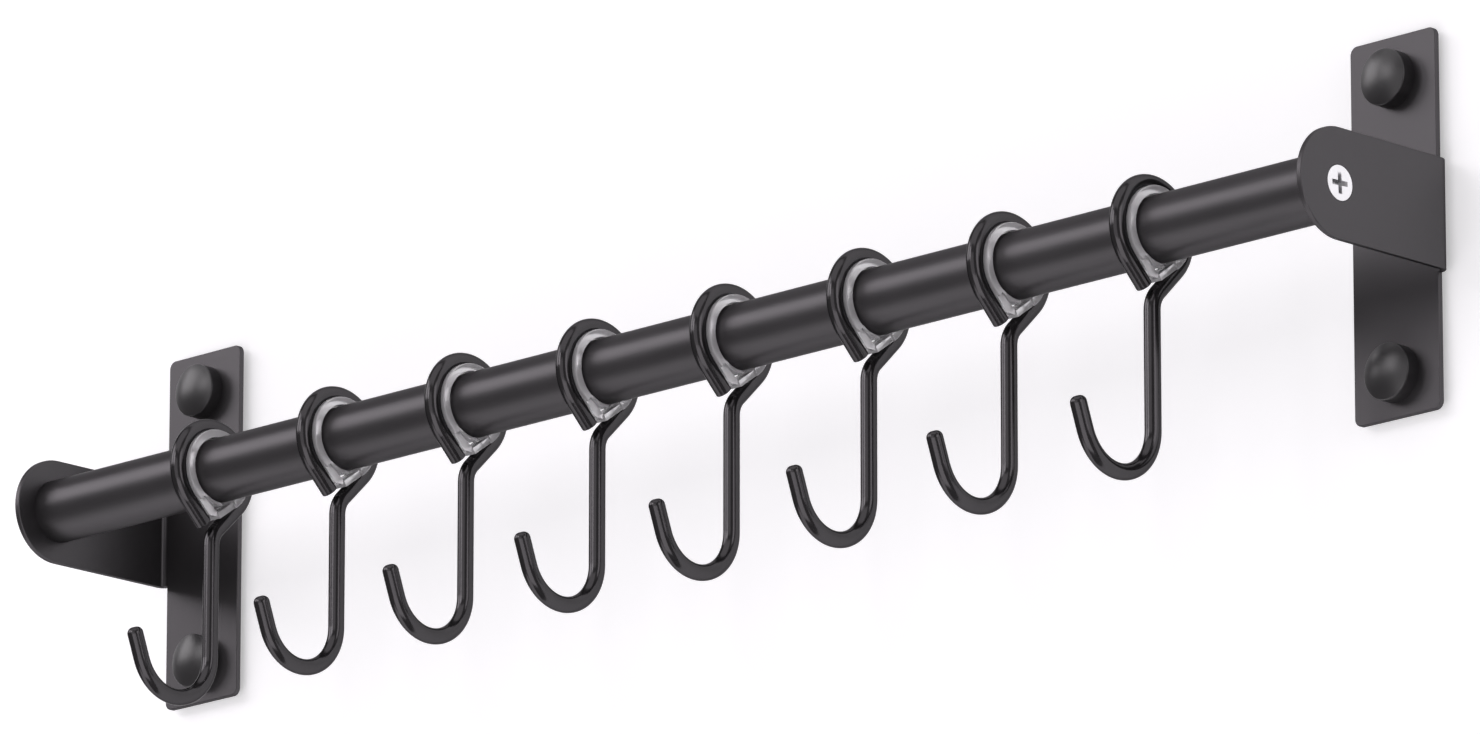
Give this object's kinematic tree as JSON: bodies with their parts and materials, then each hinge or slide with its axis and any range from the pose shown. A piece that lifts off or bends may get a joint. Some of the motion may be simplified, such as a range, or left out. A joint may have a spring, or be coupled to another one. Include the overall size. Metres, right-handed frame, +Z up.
{
  "type": "kitchen utensil rail",
  "caption": "Wall-mounted round kitchen rail on two folded sheet brackets, with wire hooks that slide along it on clear liners and hold utensils in open crooks.",
  "frame": {"origin": "on the wall plane, midway between the brackets and level with the rail's axis", "axes": "+X along the rail, +Y into the wall, +Z up"},
  "size_m": [0.4366, 0.0931, 0.1072],
  "materials": {
    "black_powder_coat": "satin",
    "hook_coat": "semi-gloss",
    "clear_strip": "clear gloss",
    "zinc_plate": "bright zinc",
    "plug_steel": "turned",
    "cap_plastic": "satin",
    "ring_plastic": "moulded"
  },
  "bodies": {
    "rail_assembly": {"rail_tube": "black_powder_coat", "left_rail_plug": "plug_steel", "right_rail_plug": "plug_steel", "left_bracket": "black_powder_coat", "right_bracket": "black_powder_coat", "left_rail_screw": "zinc_plate", "right_rail_screw": "zinc_plate", "left_upper_wall_screw": "zinc_plate", "left_upper_cap_ring": "ring_plastic", "left_upper_screw_cap": "cap_plastic", "left_lower_wall_screw": "zinc_plate", "left_lower_cap_ring": "ring_plastic", "left_lower_screw_cap": "cap_plastic", "right_upper_wall_screw": "zinc_plate", "right_upper_cap_ring": "ring_plastic", "right_upper_screw_cap": "cap_plastic", "right_lower_wall_screw": "zinc_plate", "right_lower_cap_ring": "ring_plastic", "right_lower_screw_cap": "cap_plastic"},
    "hook_1": {"hook_1_wire": "hook_coat", "hook_1_liner": "clear_strip"},
    "hook_2": {"hook_2_wire": "hook_coat", "hook_2_liner": "clear_strip"},
    "hook_3": {"hook_3_wire": "hook_coat", "hook_3_liner": "clear_strip"},
    "hook_4": {"hook_4_wire": "hook_coat", "hook_4_liner": "clear_strip"},
    "hook_5": {"hook_5_wire": "hook_coat", "hook_5_liner": "clear_strip"},
    "hook_6": {"hook_6_wire": "hook_coat", "hook_6_liner": "clear_strip"},
    "hook_7": {"hook_7_wire": "hook_coat", "hook_7_liner": "clear_strip"},
    "hook_8": {"hook_8_wire": "hook_coat", "hook_8_liner": "clear_strip"}
  },
  "joints": [
    {"name": "hook_1_slide", "type": "slide", "parent": "rail_assembly", "child": "hook_1", "axis": [1, 0, 0], "range_m": [-0.05365, 0.0193]},
    {"name": "hook_2_slide", "type": "slide", "parent": "rail_assembly", "child": "hook_2", "axis": [1, 0, 0], "range_m": [-0.0193, 0.0193]},
    {"name": "hook_3_slide", "type": "slide", "parent": "rail_assembly", "child": "hook_3", "axis": [1, 0, 0], "range_m": [-0.0193, 0.0193]},
    {"name": "hook_4_slide", "type": "slide", "parent": "rail_assembly", "child": "hook_4", "axis": [1, 0, 0], "range_m": [-0.0193, 0.0193]},
    {"name": "hook_5_slide", "type": "slide", "parent": "rail_assembly", "child": "hook_5", "axis": [1, 0, 0], "range_m": [-0.0193, 0.0193]},
    {"name": "hook_6_slide", "type": "slide", "parent": "rail_assembly", "child": "hook_6", "axis": [1, 0, 0], "range_m": [-0.0193, 0.0193]},
    {"name": "hook_7_slide", "type": "slide", "parent": "rail_assembly", "child": "hook_7", "axis": [1, 0, 0], "range_m": [-0.0193, 0.0193]},
    {"name": "hook_8_slide", "type": "slide", "parent": "rail_assembly", "child": "hook_8", "axis": [1, 0, 0], "range_m": [-0.0193, 0.05365]}
  ]
}
